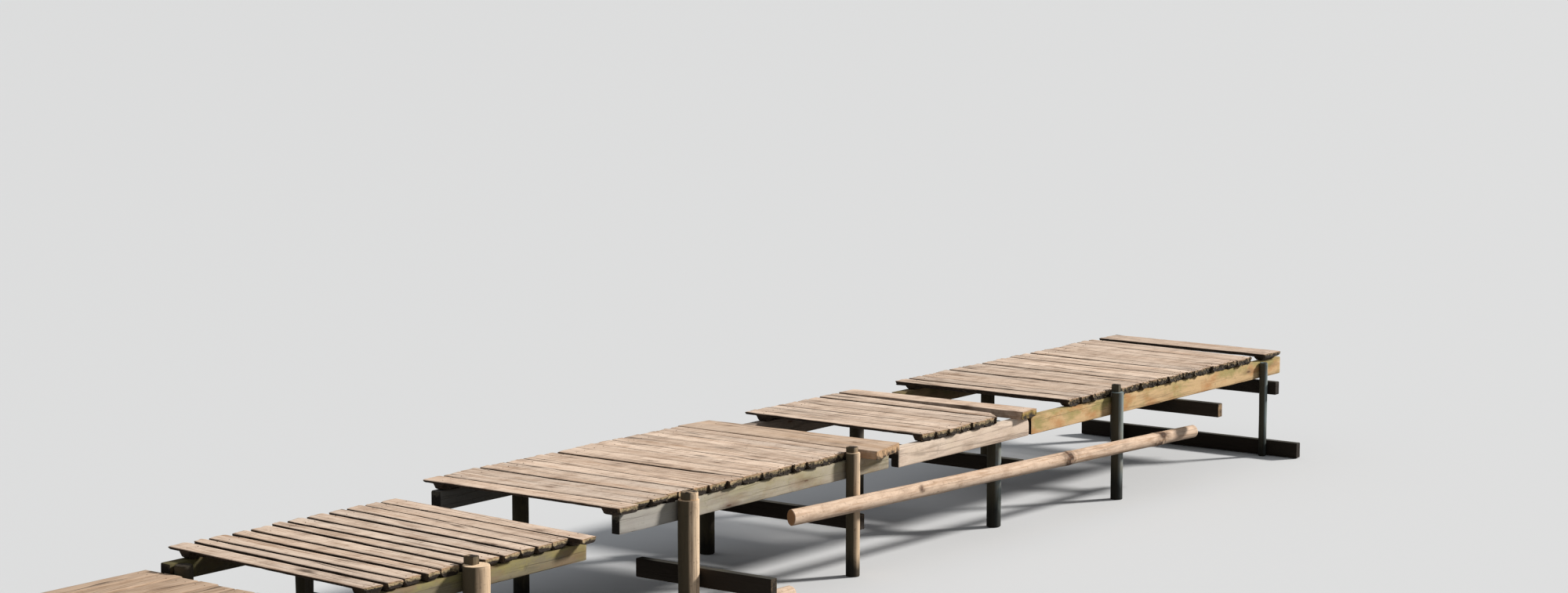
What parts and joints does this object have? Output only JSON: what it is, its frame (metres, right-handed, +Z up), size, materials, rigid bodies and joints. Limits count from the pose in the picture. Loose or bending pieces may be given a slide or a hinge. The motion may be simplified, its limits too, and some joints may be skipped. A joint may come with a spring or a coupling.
{
  "type": "wooden jetty",
  "caption": "Low rustic wooden jetty that steps out in bays: round-bottomed slab planks on long stringers, round posts with cut heads, cross timbers and round fender poles.",
  "frame": {"origin": "middle of the bounding box, level with the feet of the posts", "axes": "+X along the jetty from the shore bay to the outer end, +Y across the deck to the far side, away from the fender poles, +Z up"},
  "size_m": [12.8162, 2.2328, 0.828],
  "materials": {
    "weathered_planks": "weathered, bare",
    "newer_plank": "weathered, bare",
    "stringer_timber": "weathered, bare",
    "peeled_pole": "weathered, bare",
    "posts": "weathered, bare",
    "cross_timbers": "weathered, bare"
  },
  "bodies": {
    "root": {"bay_1_slabs": "weathered_planks", "bay_2_end_plank": "newer_plank", "bay_2_slabs": "weathered_planks", "bay_3_slabs": "weathered_planks", "bay_4_slabs": "weathered_planks", "cross_brace_1": "cross_timbers", "cross_brace_2": "cross_timbers", "cross_brace_3": "cross_timbers", "cross_brace_4": "cross_timbers", "far_post_0": "posts", "far_post_1": "posts", "far_post_2": "posts", "far_post_3": "posts", "far_post_4": "posts", "far_post_5": "posts", "far_post_6": "posts", "far_stringer_1": "stringer_timber", "far_stringer_2": "stringer_timber", "far_stringer_3": "stringer_timber", "far_stringer_4": "stringer_timber", "fender_pole": "peeled_pole", "low_fender_pole": "peeled_pole", "low_outer_beam": "cross_timbers", "mid_bay_bearer": "cross_timbers", "near_post_0": "posts", "near_post_1": "posts", "near_post_2": "posts", "near_post_3": "posts", "near_post_4": "posts", "near_post_5": "posts", "near_post_6": "posts", "near_stringer_1": "stringer_timber", "near_stringer_2": "stringer_timber", "near_stringer_3": "stringer_timber", "near_stringer_4": "stringer_timber", "outer_bearer": "cross_timbers", "outer_end_slab": "weathered_planks", "shore_deck_boards": "weathered_planks", "shore_far_post_1": "posts", "shore_far_post_2": "posts", "shore_joist_1": "cross_timbers", "shore_joist_2": "cross_timbers", "shore_joist_3": "cross_timbers", "shore_near_post_1": "posts", "shore_near_post_2": "posts"}
  },
  "joints": []
}
